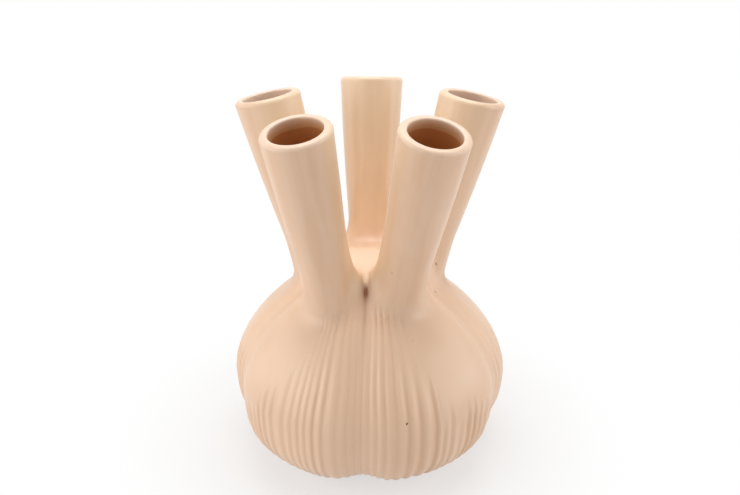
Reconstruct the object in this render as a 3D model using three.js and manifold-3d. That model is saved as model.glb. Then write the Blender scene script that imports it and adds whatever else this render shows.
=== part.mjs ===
// A ceramic vase shaped like a garlic bulb, with five leaning necks. Units are millimetres. +Z is up, the
// origin is the centre of the base, and the back neck leans towards +Y. The bulb is a lobed, ribbed shell
// with a short flared collar for each neck. Each neck is a tapered tube that stands on its collar in a lap
// joint, and a rebated disc closes the bottom.
import * as THREE from "three";
import { mergeVertices } from "three/addons/utils/BufferGeometryUtils.js";
import Module from "manifold-3d";

const wasm = await Module();
wasm.setup();

const { degToRad, radToDeg, clamp, lerp, smoothstep, euclideanModulo } = THREE.MathUtils;

// Driving dimensions of the bulb. Its outline is two quarter superellipses that meet at the belly.
const bellyRadius = 96.4;
const bellyHeight = 56;
const crownHeight = 137.3;
const shoulderFullness = 1.62;
const underFlatRadius = 17.4;
const underFullness = 2.96;
const wall = 5;

// Valleys between the lobes, as azimuths in degrees. The back lobe lies between the first two. Their width
// is in degrees too, and at the foot they rise from nothing.
const valleys = [54, 126, 198, 269, 342];
const creaseDepth = 5.2;
const creaseDepthAtFoot = 10.5;
const creaseHalfWidth = 7.5;
const creaseHalfWidthAtFoot = 9.5;
const creaseFootRise = 6;

// Places where the bulb isn't quite round, and how far its side is drawn in there
const unevenPlaces = [
  { azimuth: 192, height: 44, depth: 2 },
  { azimuth: 350, height: 92, depth: -1.3 },
];
const unevenHalfAngle = 38;
const unevenHalfHeight = 30;

// Ribs that run up the bulb. They spread from the valleys towards the top, fade out under the necks and
// near the foot, and each peaks at a share of its width from its steep side.
const ribHeight = 1.05;
const ribTop = 99;
const ribTopFade = 24;
const ribRunOut = 16;
const ribFootStart = 46;
const ribFootEnd = 66;
const ribSplay = 0.45;
const ribPeak = 0.38;

// Grooves between the ribs, outward from a valley: angle from it in degrees on a lobe of even width, how
// high the groove runs as a share of the crown's height, and its depth as a share of the ribs' height. Where
// they end early the lobe stays smooth.
const valleyGroove = [0, 0.8, 0.5];
const leftGrooves = [
  [3, 0.87, 0.3],
  [6.1, 0.9, 0.5],
  [10.1, 0.92, 0.5],
  [15.5, 0.92, 0.55],
  [19.2, 0.92, 0.85],
  [22.6, 0.91, 0.7],
  [25.6, 0.89, 0.8],
  [29, 0.79, 0.8],
  [32.9, 0.73, 0.9],
  [39.1, 0.63, 0.9],
  [43.5, 0.63, 0.9],
  [47.3, 0.58, 0.6],
  [50.5, 0.51, 0.5],
  [54.6, 0.5, 0.6],
  [59.5, 0.47, 0.7],
  [63.5, 0.53, 0.6],
  [67.5, 0.62, 0.6],
];
const rightGrooves = [
  [3.1, 0.88, 0.8],
  [6.1, 0.92, 0.8],
  [9.5, 0.92, 0.9],
  [13.8, 0.91, 0.9],
  [18.3, 0.91, 1.1],
  [23.3, 0.9, 1.6],
  [29.5, 0.68, 1.6],
  [32.9, 0.47, 0.9],
  [36.3, 0.55, 0.9],
  [40.6, 0.44, 0.5],
  [45.1, 0.54, 0.9],
  [48.9, 0.69, 0.8],
  [52.3, 0.6, 0.6],
  [56.2, 0.58, 0.6],
  [62, 0.6, 0.6],
  [67.5, 0.66, 0.6],
];

// Grooves of each lobe, counted from its first valley or from its second
const lobePatterns = [
  { pattern: leftGrooves, fromFirst: true },
  { pattern: rightGrooves, fromFirst: false },
  { pattern: leftGrooves, fromFirst: false },
  { pattern: rightGrooves, fromFirst: true },
  { pattern: leftGrooves, fromFirst: true },
];
const lobeCount = lobePatterns.length;

// Necks. Each leans outward and stands slightly out of its even place, as a hand-joined one does. Some rims
// are tilted nearer to level. From a little below the joint the outer side flares as it runs into the bulb.
const rimOuterRadius = 21.9;
const neckTaper = 0.04;
const neckTaperGrowth = 0.000235;
const neckWall = 4.9;
const neckFlare = 2.4;
const neckFlareStart = 4;
const neckFlareLength = 34;
const neckLength = 150;
const lipThickness = 5.3;
const lipDepth = 7;
const lipStep = 0.6;
const lipOuterRounding = 2.8;
const lipInnerRounding = 1.2;
const rimTiltFade = 40;
const rimInset = 25.4;
const rimCentreRadius = bellyRadius - rimInset;
const rimCentreHeight = 244.2;
const neckLean = 15.3;
const necks = [
  { name: "neck_back", turn: 0, extraLean: 0.2, rimTilt: 2, extraHeight: 1.7 },
  { name: "neck_left", turn: 0.5, extraLean: 0.4, rimTilt: 3, extraHeight: 0.2 },
  { name: "neck_front_left", turn: 1, extraLean: -1.5, rimTilt: 0, extraHeight: 0 },
  { name: "neck_front_right", turn: -1.9, extraLean: 0.8, rimTilt: 0, extraHeight: -0.6 },
  { name: "neck_right", turn: 0.1, extraLean: 0, rimTilt: 3.5, extraHeight: 0.7 },
];

// Blends between the necks and the bulb: tight outside the ring of necks, and a deep web between them
const outerBlend = 3.6;
const webBlend = 9.5;
const webLimit = 0.415;
const webRadius = 36;
const webFade = 16;

// Lap joint between neck and collar, and the joint gap that the slip fills
const collarDrop = 88;
const spigotLength = 5;
const spigotWall = 2.2;
const jointGap = 0.3;

// Base disc
const baseRadius = 44;
const baseFlange = 3;
const baseStep = 5;

// Fineness of the faceted surfaces. The outside has two columns for each rib, and the inside a number for
// each lobe.
const outside = { level: 0, rows: 12, lineSteps: 9, patchRows: 8, ribbed: true };
const inside = { level: -wall, lobeColumns: 8, rows: 6, lineSteps: 5, patchRows: 4, ribbed: false };
const patchHeight = 101;
const halvingRise = 0.8;
const creaseLineRise = 4;
const bendBelowCollar = 22;
const bendSwell = 2;
const footRingRadius = 40;
const neckSides = 32;
const neckOuterSteps = 5;
const neckBoreSteps = 3;
const lipSteps = 3;
const baseSides = 64;

// Frame of each neck: its origin is the centre of the rim, its +Z runs out of the mouth and its +X leans
// outward.
const neckFrames = necks.map(({ turn, extraLean, extraHeight }, index) => {
  const azimuth = degToRad(90 + (360 / lobeCount) * index + turn);
  const frame = new THREE.Group();
  frame.position.set(
    rimCentreRadius * Math.cos(azimuth),
    rimCentreRadius * Math.sin(azimuth),
    rimCentreHeight + extraHeight,
  );
  frame.rotation.set(0, degToRad(neckLean + extraLean), azimuth, "ZYX");
  frame.updateMatrix();
  return { matrix: frame.matrix, inverse: frame.matrix.clone().invert(), frame };
});

const neckOuterRadius = (drop) => rimOuterRadius - neckTaper * drop - neckTaperGrowth * drop * drop;
const neckInnerRadius = (drop) => neckOuterRadius(drop) - neckWall;

// Gap between two necks at the joint. It limits the web's fillet, so that the web stays below the joint.
const collarCentreRadius = rimCentreRadius - collarDrop * Math.sin(degToRad(neckLean));
const collarGap = 2 * (collarCentreRadius * Math.sin(Math.PI / lobeCount) - neckOuterRadius(collarDrop));
const webFillet = Math.min(webBlend, webLimit * collarGap);

// Outside radius of a neck with its flare, where outward is the cosine of the angle from its outer side.
function flaredRadius(drop, outward) {
  const below = smoothstep(drop - collarDrop - neckFlareStart, 0, neckFlareLength);
  return neckOuterRadius(drop) + neckFlare * below * smoothstep(outward, -0.3, 0.5);
}

// How far an azimuth lies from another, in degrees from 0 to 180.
const degreesApart = (azimuth, other) => Math.abs(euclideanModulo(azimuth - other + 180, 360) - 180);

// How far the valleys and the uneven places draw the bulb in at this azimuth and height.
function drawnIn(azimuth, height) {
  const degrees = radToDeg(azimuth);
  const down = clamp(1 - height / bellyHeight, 0, 1);
  const fromValley = Math.min(...valleys.map((valley) => degreesApart(degrees, valley)));
  const width = lerp(creaseHalfWidth, creaseHalfWidthAtFoot, down);
  const valley = Math.exp(-((fromValley / width) ** 2)) * lerp(creaseDepth, creaseDepthAtFoot, down * down);
  const uneven = unevenPlaces.reduce((sum, place) => {
    const aside = degreesApart(degrees, place.azimuth) / unevenHalfAngle;
    const above = (height - place.height) / unevenHalfHeight;
    return sum + place.depth * Math.exp(-aside * aside - above * above);
  }, 0);
  return (valley + uneven) * smoothstep(height, 0, creaseFootRise);
}

// Distance of a point from the outside of the plain bulb, below zero inside it.
function distanceToBulb(point) {
  const radius = Math.hypot(point.x, point.y);
  const cut = drawnIn(Math.atan2(point.y, point.x), point.z) * Math.min(1, radius / footRingRadius);
  const above = point.z > bellyHeight;
  const power = above ? shoulderFullness : underFullness;
  const flat = above ? 0 : underFlatRadius;
  const tall = above ? crownHeight - bellyHeight : bellyHeight;
  const across = Math.max(radius + cut - flat, 0.001) / (bellyRadius - flat);
  const along = Math.max(Math.abs(point.z - bellyHeight), 0.001) / tall;
  const sum = across ** power + along ** power;
  const reach = sum ** (1 / power);
  const slope = Math.hypot(across ** (power - 1) / (bellyRadius - flat), along ** (power - 1) / tall);
  return (reach - 1) / (slope * sum ** (1 / power - 1));
}

// Distance of a point from the outside of a neck, which is taken to run on down through the bulb.
function distanceToNeck(point, index) {
  const local = point.clone().applyMatrix4(neckFrames[index].inverse);
  const drop = clamp(-local.z, 0, neckLength);
  const across = Math.hypot(local.x, local.y);
  return across - flaredRadius(drop, local.x / Math.max(across, 1));
}

// Distance of a point from the bulb and necks run together as wet clay.
function distanceToVase(point) {
  const outward = smoothstep(Math.hypot(point.x, point.y), webRadius, webRadius + webFade);
  const blend = lerp(webFillet, outerBlend, outward);
  const distances = [distanceToBulb(point), ...necks.map((_, index) => distanceToNeck(point, index))];
  const least = Math.min(...distances);
  const total = distances.reduce((sum, distance) => sum + Math.exp((least - distance) / blend), 0);
  return least - blend * Math.log(total);
}

// Moves a point along the slope of that distance until it has the distance asked for.
function settle(point, level) {
  const step = 0.05;
  const longest = 2;
  for (let round = 0; round < 16; round++) {
    const slope = new THREE.Vector3();
    for (const axis of ["x", "y", "z"]) {
      const ahead = point.clone();
      const behind = point.clone();
      ahead[axis] += step;
      behind[axis] -= step;
      slope[axis] = (distanceToVase(ahead) - distanceToVase(behind)) / (2 * step);
    }
    const move = slope.multiplyScalar((level - distanceToVase(point)) / Math.max(slope.lengthSq(), 1e-6));
    point.add(move.clampLength(0, longest));
  }
  return point;
}

// Point beside a neck's axis, at an angle round it and a drop below the rim.
function besideNeck(index, angle, radius, drop) {
  const local = new THREE.Vector3(radius * Math.cos(angle), radius * Math.sin(angle), -drop);
  return local.applyMatrix4(neckFrames[index].matrix);
}

// Radius at which a ray across a neck's axis meets the surface of that level.
function radiusOfNeck(index, angle, drop, level) {
  let within = neckOuterRadius(drop) + level - 1;
  let beyond = within;
  while (distanceToVase(besideNeck(index, angle, beyond, drop)) < level) beyond += 0.5;
  for (let round = 0; round < 14; round++) {
    const middle = (within + beyond) / 2;
    if (distanceToVase(besideNeck(index, angle, middle, drop)) < level) within = middle;
    else beyond = middle;
  }
  return (within + beyond) / 2;
}

// Lobes, each with its first valley and its span in degrees, and its grooves in order. A groove's place is a
// share of the span, and the last is the next valley.
const evenSpan = 360 / lobeCount;
const lobes = lobePatterns.map(({ pattern, fromFirst }, lobe) => {
  const first = valleys[lobe];
  const span = (valleys[lobe + 1] ?? valleys[0] + 360) - first;
  const nextValley = [evenSpan, ...valleyGroove.slice(1)];
  const grooves = [valleyGroove, ...pattern, nextValley].map(([angle, top, depth]) => {
    const share = angle / evenSpan;
    return { share: fromFirst ? share : 1 - share, top: top * crownHeight, depth };
  });
  return { first, span, fromFirst, grooves: fromFirst ? grooves : grooves.toReversed() };
});

// Columns of a skin, in order round the bulb: grooves and the ridges between them, or even steps.
function skinColumns({ ribbed, lobeColumns }) {
  return lobes.flatMap(({ grooves, fromFirst }, lobe) => {
    if (!ribbed) {
      return Array.from({ length: lobeColumns }, (_, column) => ({ lobe, share: column / lobeColumns }));
    }
    return grooves.slice(0, -1).flatMap((groove, rib) => {
      const peak = fromFirst ? ribPeak : 1 - ribPeak;
      return [{ lobe, ...groove }, { lobe, share: lerp(groove.share, grooves[rib + 1].share, peak) }];
    });
  });
}

// Azimuth of a column at a height. Above the belly the columns spread from the valleys, as the ribs do.
function columnAzimuth({ lobe, share }, height) {
  const power = 1 / (1 + ribSplay * smoothstep(height, bellyHeight + 24, crownHeight + 14));
  const fromValley = (1 - Math.abs(2 * share - 1)) ** power;
  const splayed = (1 + Math.sign(share - 0.5) * (1 - fromValley)) / 2;
  return degToRad(lobes[lobe].first + lobes[lobe].span * splayed);
}

// How far a column's groove cuts in at a height and radius. A ridge has none.
function grooveCut({ top, depth }, height, radius) {
  if (!depth) return 0;
  const below = smoothstep(top - height, 0, ribRunOut) * smoothstep(ribTop - height, 0, ribTopFade);
  const foot = height < bellyHeight ? smoothstep(radius, ribFootStart, ribFootEnd) : 1;
  return ribHeight * depth * below * foot;
}

// Radius and height of the bulb's outline at an angle from -90 degrees, the foot, to 90 degrees, the crown.
function outlineAt(angle, level) {
  const above = angle > 0;
  const power = 2 / (above ? shoulderFullness : underFullness);
  const flat = above ? 0 : underFlatRadius;
  const tall = (above ? crownHeight - bellyHeight : bellyHeight) + level;
  return {
    radius: flat + (bellyRadius + level - flat) * Math.cos(angle) ** power,
    height: bellyHeight + Math.sign(angle) * tall * Math.abs(Math.sin(angle)) ** power,
  };
}

// Angle at which the outline passes a radius below the belly, or a height above it.
function outlineAngle({ radius, height, level }) {
  let low = height ? 0 : -Math.PI / 2;
  let high = height ? Math.PI / 2 : 0;
  for (let round = 0; round < 40; round++) {
    const middle = (low + high) / 2;
    const at = outlineAt(middle, level);
    const short = height ? at.height < height : at.radius < radius;
    if (short) low = middle;
    else high = middle;
  }
  return low;
}

// Closed mesh under construction: points, and faces that list their points anticlockwise from outside.
class Skin {
  points = [];
  faces = [];

  add(point) {
    return this.points.push(point) - 1;
  }

  // Joins two rows of as many points, the second further up or further in. Each four-sided cell is split
  // along its shorter diagonal.
  strip(lower, upper) {
    lower.forEach((a, column) => {
      const next = (column + 1) % lower.length;
      const [b, c, d] = [lower[next], upper[next], upper[column]];
      const rising = this.points[a].distanceTo(this.points[c]);
      const falling = this.points[b].distanceTo(this.points[d]);
      if (rising <= falling) this.faces.push([a, b, c], [a, c, d]);
      else this.faces.push([a, b, d], [b, c, d]);
    });
  }

  // Joins a row to one above it that has half as many points.
  halve(lower, upper) {
    upper.forEach((above, place) => {
      const next = upper[(place + 1) % upper.length];
      const [a, b, c] = [0, 1, 2].map((step) => lower[(2 * place + step) % lower.length]);
      this.faces.push([a, b, above], [b, next, above], [b, c, next]);
    });
  }

  // Closes a row with a fan round its middle.
  cap(row, facesUp) {
    const sum = row.reduce((total, index) => total.add(this.points[index]), new THREE.Vector3());
    const middle = this.add(sum.divideScalar(row.length));
    row.forEach((a, column) => {
      const b = row[(column + 1) % row.length];
      this.faces.push(facesUp ? [a, b, middle] : [b, a, middle]);
    });
  }

  solid() {
    return new wasm.Manifold(
      new wasm.Mesh({
        numProp: 3,
        vertProperties: new Float32Array(this.points.flatMap((point) => point.toArray())),
        triVerts: new Uint32Array(this.faces.flat()),
      }),
    );
  }
}

// Surface of the bulb and its collars at a level, closed at the foot and across each collar. Rows of points
// go round the bulb up to the patch height, and above it each neck has a patch that runs in to its collar.
function bulbSkin(settings) {
  const { level, rows, lineSteps, patchRows, ribbed } = settings;
  const skin = new Skin();
  const columns = skinColumns(settings);
  const lowest = outlineAngle({ radius: footRingRadius, level });
  const highest = outlineAngle({ height: patchHeight + level, level });
  const rings = [];
  for (let row = 0; row <= rows; row++) {
    const { radius, height } = outlineAt(lerp(lowest, highest, row / rows), level);
    rings.push(
      columns.map((column) => {
        const azimuth = columnAzimuth(column, height);
        const bare = radius - drawnIn(azimuth, height) * Math.min(1, radius / footRingRadius);
        const point = new THREE.Vector3(bare * Math.cos(azimuth), bare * Math.sin(azimuth), height);
        if (row > 0) settle(point, level);
        const cut = grooveCut(column, height, radius);
        return skin.add(point.sub(new THREE.Vector3(cut * Math.cos(azimuth), cut * Math.sin(azimuth), 0)));
      }),
    );
  }
  for (let row = 0; row < rows; row++) skin.strip(rings[row], rings[row + 1]);
  skin.cap(rings[0], false);

  // Above the ribs the outside needs only half as many columns, those of the grooves
  let top = rings[rows];
  let topColumns = columns;
  if (ribbed) {
    top = top
      .filter((_, column) => column % 2 === 0)
      .map((index) => {
        const point = skin.points[index].clone();
        point.x *= 1 - halvingRise / patchHeight;
        point.y *= 1 - halvingRise / patchHeight;
        return skin.add(settle(point.setZ(point.z + halvingRise), level));
      });
    skin.halve(rings[rows], top);
    topColumns = columns.filter((_, column) => column % 2 === 0);
  }
  const starts = [...lobes.keys()].map((lobe) => topColumns.findIndex((column) => column.lobe === lobe));

  // Lines along the creases, from the top ring in to the middle of the crown
  const crown = skin.add(settle(new THREE.Vector3(0, 0, crownHeight + level), level));
  const lines = Array.from({ length: lobeCount }, (_, lobe) => {
    const start = skin.points[top[starts[lobe]]];
    return Array.from({ length: lineSteps - 1 }, (_, step) => {
      const point = start.clone().lerp(skin.points[crown], (step + 1) / lineSteps);
      return skin.add(settle(point.setZ(point.z + creaseLineRise), level));
    });
  });

  for (let lobe = 0; lobe < lobeCount; lobe++) {
    const ring = [...top, top[0]].slice(starts[lobe], (starts[lobe + 1] ?? top.length) + 1);
    const loop = [...ring, ...lines[(lobe + 1) % lobeCount], crown, ...lines[lobe].toReversed()];
    const angles = loop.map((index) => {
      const local = skin.points[index].clone().applyMatrix4(neckFrames[lobe].inverse);
      return Math.atan2(local.y, local.x);
    });
    const collar = angles.map((angle) =>
      besideNeck(lobe, angle, radiusOfNeck(lobe, angle, collarDrop, level), collarDrop),
    );
    const corner = angles.map((angle) => {
      const drop = collarDrop + bendBelowCollar - level;
      return besideNeck(lobe, angle, flaredRadius(drop, Math.cos(angle)) + level + bendSwell, drop);
    });
    let below = loop;
    for (let row = 1; row <= patchRows; row++) {
      const share = row / patchRows;
      const next = collar.map((end, place) => {
        if (row === patchRows) return skin.add(end);
        const bend = new THREE.QuadraticBezierCurve3(skin.points[loop[place]], corner[place], end);
        return skin.add(settle(bend.getPoint(share), level));
      });
      skin.strip(below, next);
      below = next;
    }
    skin.cap(below, true);
  }
  return skin.solid();
}

// A three.js geometry as a manifold solid, and back.
function solidFromGeometry(geometry) {
  const bare = geometry.clone();
  bare.deleteAttribute("normal");
  bare.deleteAttribute("uv");
  const merged = mergeVertices(bare, 1e-4);
  return new wasm.Manifold(
    new wasm.Mesh({
      numProp: 3,
      vertProperties: merged.attributes.position.array,
      triVerts: new Uint32Array(merged.index.array),
    }),
  );
}

function geometryFromSolid(solid) {
  const mesh = solid.getMesh();
  const geometry = new THREE.BufferGeometry();
  geometry.setAttribute("position", new THREE.BufferAttribute(mesh.vertProperties, 3));
  geometry.setIndex(new THREE.BufferAttribute(mesh.triVerts, 1));
  geometry.computeVertexNormals();
  return geometry;
}

// A lathe turned about Z from [radius, height] pairs.
function lathe(outline, sides) {
  const points = outline.map(([radius, height]) => new THREE.Vector2(radius, height));
  return new THREE.LatheGeometry(points, sides).rotateX(Math.PI / 2);
}

// Rebate in the top of a collar that takes the neck's spigot.
function collarRebate(index) {
  const top = 1 - collarDrop;
  const floor = -collarDrop - spigotLength - jointGap;
  const radius = neckInnerRadius(collarDrop) + spigotWall + jointGap;
  const outline = [
    [0, floor],
    [radius, floor],
    [radius, top],
    [0, top],
  ];
  return solidFromGeometry(lathe(outline, neckSides).applyMatrix4(neckFrames[index].matrix));
}

// Rebated opening in the bottom that the base disc fills.
function baseOpening() {
  const flange = baseRadius + jointGap;
  const plug = baseRadius - baseStep + jointGap;
  const outline = [
    [0, -1],
    [flange, -1],
    [flange, baseFlange + jointGap],
    [plug, baseFlange + jointGap],
    [plug, 2 * wall],
    [0, 2 * wall],
  ];
  return solidFromGeometry(lathe(outline, baseSides));
}

function bulb() {
  let solid = bulbSkin(outside).subtract(bulbSkin(inside));
  necks.forEach((_, index) => {
    solid = solid.subtract(collarRebate(index));
  });
  return geometryFromSolid(solid.subtract(baseOpening()));
}

// Rebated disc that closes the bottom of the bulb. The vase stands on it.
function baseDisc() {
  const plug = baseRadius - baseStep;
  const edge = 1;
  const outline = [
    [0, 0],
    [baseRadius - edge, 0],
    [baseRadius, edge],
    [baseRadius, baseFlange],
    [plug, baseFlange],
    [plug, wall + edge],
    [0, wall + edge],
  ];
  return lathe(outline, baseSides);
}

// A neck in the frame of its rim: rows of points up the outside, over the lip, down the bore and round the
// spigot. Near its foot the outside swells where it runs into the bulb.
function neck(index) {
  const end = collarDrop - jointGap;
  const lipInner = rimOuterRadius - lipThickness;
  const angles = Array.from({ length: neckSides }, (_, side) => (2 * Math.PI * side) / neckSides);
  const rows = [];
  const round = (radius, drop) => rows.push(angles.map((angle) => [angle, radius, drop]));
  for (let step = 0; step < neckOuterSteps; step++) {
    const drop = lerp(end, lipOuterRounding, (step / neckOuterSteps) ** 1.4);
    rows.push(angles.map((angle) => [angle, radiusOfNeck(index, angle, drop, 0), drop]));
  }
  for (let step = 0; step <= lipSteps; step++) {
    const turn = (Math.PI / 2) * (step / lipSteps);
    const outer = rimOuterRadius - lipOuterRounding * (1 - Math.cos(turn));
    round(outer, lipOuterRounding * (1 - Math.sin(turn)));
  }
  for (let step = 0; step <= 1; step++) {
    round(lipInner + lipInnerRounding * (1 - step), lipInnerRounding * step);
  }
  round(lipInner, lipDepth);
  for (let step = 0; step <= neckBoreSteps; step++) {
    const drop = lerp(lipDepth + lipStep, collarDrop + spigotLength, step / neckBoreSteps);
    round(neckInnerRadius(drop), drop);
  }
  round(neckInnerRadius(collarDrop) + spigotWall, collarDrop + spigotLength);
  round(neckInnerRadius(collarDrop) + spigotWall, end);

  const skin = new Skin();
  const tilt = Math.tan(degToRad(necks[index].rimTilt));
  const rings = rows.map((row) =>
    row.map(([angle, radius, drop]) => {
      const across = radius * Math.cos(angle);
      const raised = tilt * across * (1 - smoothstep(drop, 0, rimTiltFade));
      return skin.add(new THREE.Vector3(across, radius * Math.sin(angle), raised - drop));
    }),
  );
  rings.forEach((ring, row) => skin.strip(ring, rings[(row + 1) % rings.length]));
  return geometryFromSolid(skin.solid());
}

const glaze = () => new THREE.MeshStandardMaterial({ color: 0xe6c6a6, roughness: 0.5, metalness: 0 });
const bareClay = () => new THREE.MeshStandardMaterial({ color: 0xd8c4ae, roughness: 0.9, metalness: 0 });

function piece(name, geometry, material) {
  const mesh = new THREE.Mesh(geometry, material);
  mesh.name = name;
  return mesh;
}

const vase = new THREE.Group();
vase.add(piece("bulb", bulb(), glaze()));
vase.add(piece("base", baseDisc(), bareClay()));
necks.forEach(({ name }, index) => {
  const { frame } = neckFrames[index];
  frame.add(piece(name, neck(index), glaze()));
  vase.add(frame);
});

export default vase;
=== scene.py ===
# Looks of a garlic-shaped ceramic vase with five leaning necks, in metres, +Z up, the back neck towards +Y.
import math

import bpy
import numpy as np
from mathutils import Matrix, Vector


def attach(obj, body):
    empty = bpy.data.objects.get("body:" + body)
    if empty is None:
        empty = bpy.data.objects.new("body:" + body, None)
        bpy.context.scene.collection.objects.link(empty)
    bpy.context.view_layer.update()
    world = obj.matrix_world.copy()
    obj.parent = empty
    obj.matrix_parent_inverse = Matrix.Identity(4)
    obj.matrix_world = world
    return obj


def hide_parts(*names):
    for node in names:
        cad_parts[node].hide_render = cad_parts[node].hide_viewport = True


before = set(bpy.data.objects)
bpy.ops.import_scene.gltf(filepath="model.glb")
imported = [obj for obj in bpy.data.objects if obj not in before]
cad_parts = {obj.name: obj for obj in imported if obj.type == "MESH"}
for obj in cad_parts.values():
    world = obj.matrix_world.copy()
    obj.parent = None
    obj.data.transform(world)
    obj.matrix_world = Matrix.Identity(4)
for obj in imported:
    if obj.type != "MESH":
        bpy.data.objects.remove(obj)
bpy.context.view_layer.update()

bl_info = {
    "name": "Five-Neck Garlic Vase",
    "version": (1, 0, 0),
    "blender": (4, 5, 0),
    "location": "3D View > Sidebar > Vase",
    "description": "Models a glazed vase with a lobed, ribbed bulb and five necks",
    "category": "Object",
}

MM = 0.001
TINY = 1e-6
LOBES = 5
LOBE_ANGLE = 360 / LOBES
FIRST_LOBE = 90  # azimuth of the back lobe's middle, in degrees

# Each neck's name, turn from its even place, extra lean and rim's tilt in degrees, and its extra height
NECKS = (
    ("neck_back", 0.0, 0.2, 2.0, 1.6 * MM),
    ("neck_left", 0.5, 0.4, 3.0, 0.2 * MM),
    ("neck_front_left", 1.0, -1.5, 0.0, 0.0),
    ("neck_front_right", -1.9, 0.8, 0.0, -0.6 * MM),
    ("neck_right", 0.1, 0.0, 3.5, 0.7 * MM),
)
SIDE_NECKS = (1, 4)

# The joints: a collar's drop below the rim, the spigot in it, and the base's flange, ledge and plug
COLLAR_DROP = 88 * MM
SPIGOT_LENGTH = 5 * MM
SPIGOT_WALL = 2.2 * MM
JOINT_GAP = 0.3 * MM
BASE_FLANGE = 3 * MM
BASE_LEDGE = 5 * MM
BASE_PLUG = 3 * MM
ROUND_SIDES = 128

# Azimuths of the valleys between the lobes, in degrees. The back lobe lies between the first two.
VALLEYS = (54.0, 126.0, 198.0, 269.0, 342.0)
FRONT_VALLEY = VALLEYS[3]

# Grooves between the ribs of the two front lobes, outward from the valley between them: angle from that valley
# on an even lobe, in degrees, top as a share of the crown's height, and depth as a share of a rib's height
VALLEY_GROOVE = (0.0, 0.8, 0.3)
LEFT_GROOVES = (
    (3.0, 0.87, 0.3), (6.1, 0.9, 0.5), (10.1, 0.92, 0.6), (15.5, 0.92, 0.8), (19.2, 0.92, 0.9),
    (22.6, 0.91, 0.5), (25.6, 0.89, 0.55), (29.0, 0.79, 0.5), (32.9, 0.73, 0.7), (39.1, 0.61, 0.8),
    (43.5, 0.58, 0.9), (47.3, 0.5, 0.9), (50.5, 0.44, 0.9), (54.6, 0.43, 1.1), (59.5, 0.41, 1.2),
    (63.5, 0.45, 1.1), (67.5, 0.5, 1.0),
)
RIGHT_GROOVES = (
    (3.1, 0.88, 0.45), (6.1, 0.92, 0.65), (9.5, 0.92, 0.85), (13.8, 0.91, 1.05), (18.3, 0.91, 1.5),
    (23.3, 0.9, 1.6), (29.5, 0.68, 1.45), (32.9, 0.47, 0.9), (36.3, 0.53, 0.9), (40.6, 0.44, 0.7),
    (45.1, 0.5, 1.3), (48.9, 0.5, 1.3), (52.3, 0.47, 1.2), (56.2, 0.45, 1.3), (62.0, 0.46, 1.2),
    (67.5, 0.5, 1.2),
)

# The grooves of each lobe, and 1 where they are counted from its first valley or -1 from its second
LOBE_GROOVES = (
    (LEFT_GROOVES, 1), (RIGHT_GROOVES, -1), (LEFT_GROOVES, -1), (RIGHT_GROOVES, 1), (LEFT_GROOVES, 1),
)

# Places where the bulb isn't quite round: azimuth in degrees, height and how far its side is drawn in
UNEVEN = ((192, 44 * MM, 2 * MM), (350, 92 * MM, -1.3 * MM))


def length(name, description, millimetres):
    return bpy.props.FloatProperty(
        name=name, description=description, default=millimetres * MM, min=0, subtype="DISTANCE", unit="LENGTH"
    )


def colour(name, description, red, green, blue):
    return bpy.props.FloatVectorProperty(
        name=name, description=description, default=(red, green, blue), min=0, max=1, size=3, subtype="COLOR"
    )


def fraction(name, description, default):
    return bpy.props.FloatProperty(
        name=name, description=description, default=default, min=0, max=1, subtype="FACTOR"
    )


class VaseShape(bpy.types.PropertyGroup):
    """Sizes of the bulb, its creases and ribs, the necks and the base."""

    belly_radius: length("Belly radius", "Radius of the bulb at its widest", 96.2)
    belly_height: length("Belly height", "Height of the widest place", 56)
    crown_height: length("Crown height", "Height of the plain bulb's top, under the necks", 137.3)
    wall: length("Wall", "Thickness of the clay in the bulb", 5)
    crease_depth: length("Crease depth", "Depth of the valley between two lobes", 5)
    crease_depth_at_foot: length("Crease depth at foot", "Depth of that valley at the foot", 10.5)
    fold_depth: length("Fold depth", "Depth of the narrow fold where two necks and their lobes meet", 1.4)
    rib_height: length("Rib height", "Depth of the grooves between the ribs", 1.05)
    rim_radius: length("Rim radius", "Outside radius of a neck at its rim", 21.9)
    lip_thickness: length("Lip thickness", "Thickness of the rounded lip", 5.3)
    neck_wall: length("Neck wall", "Thickness of a neck below its lip", 4.9)
    rim_circle: length("Rim circle", "Radius of the circle on which the rims' centres lie", 71)
    rim_height: length("Rim height", "Height of the rims' centres", 244.2)
    neck_lean: bpy.props.FloatProperty(
        name="Neck lean", description="Outward lean of the necks", default=math.radians(15.3), subtype="ANGLE"
    )
    base_radius: length("Base radius", "Radius of the disc that the vase stands on", 44)


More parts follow.
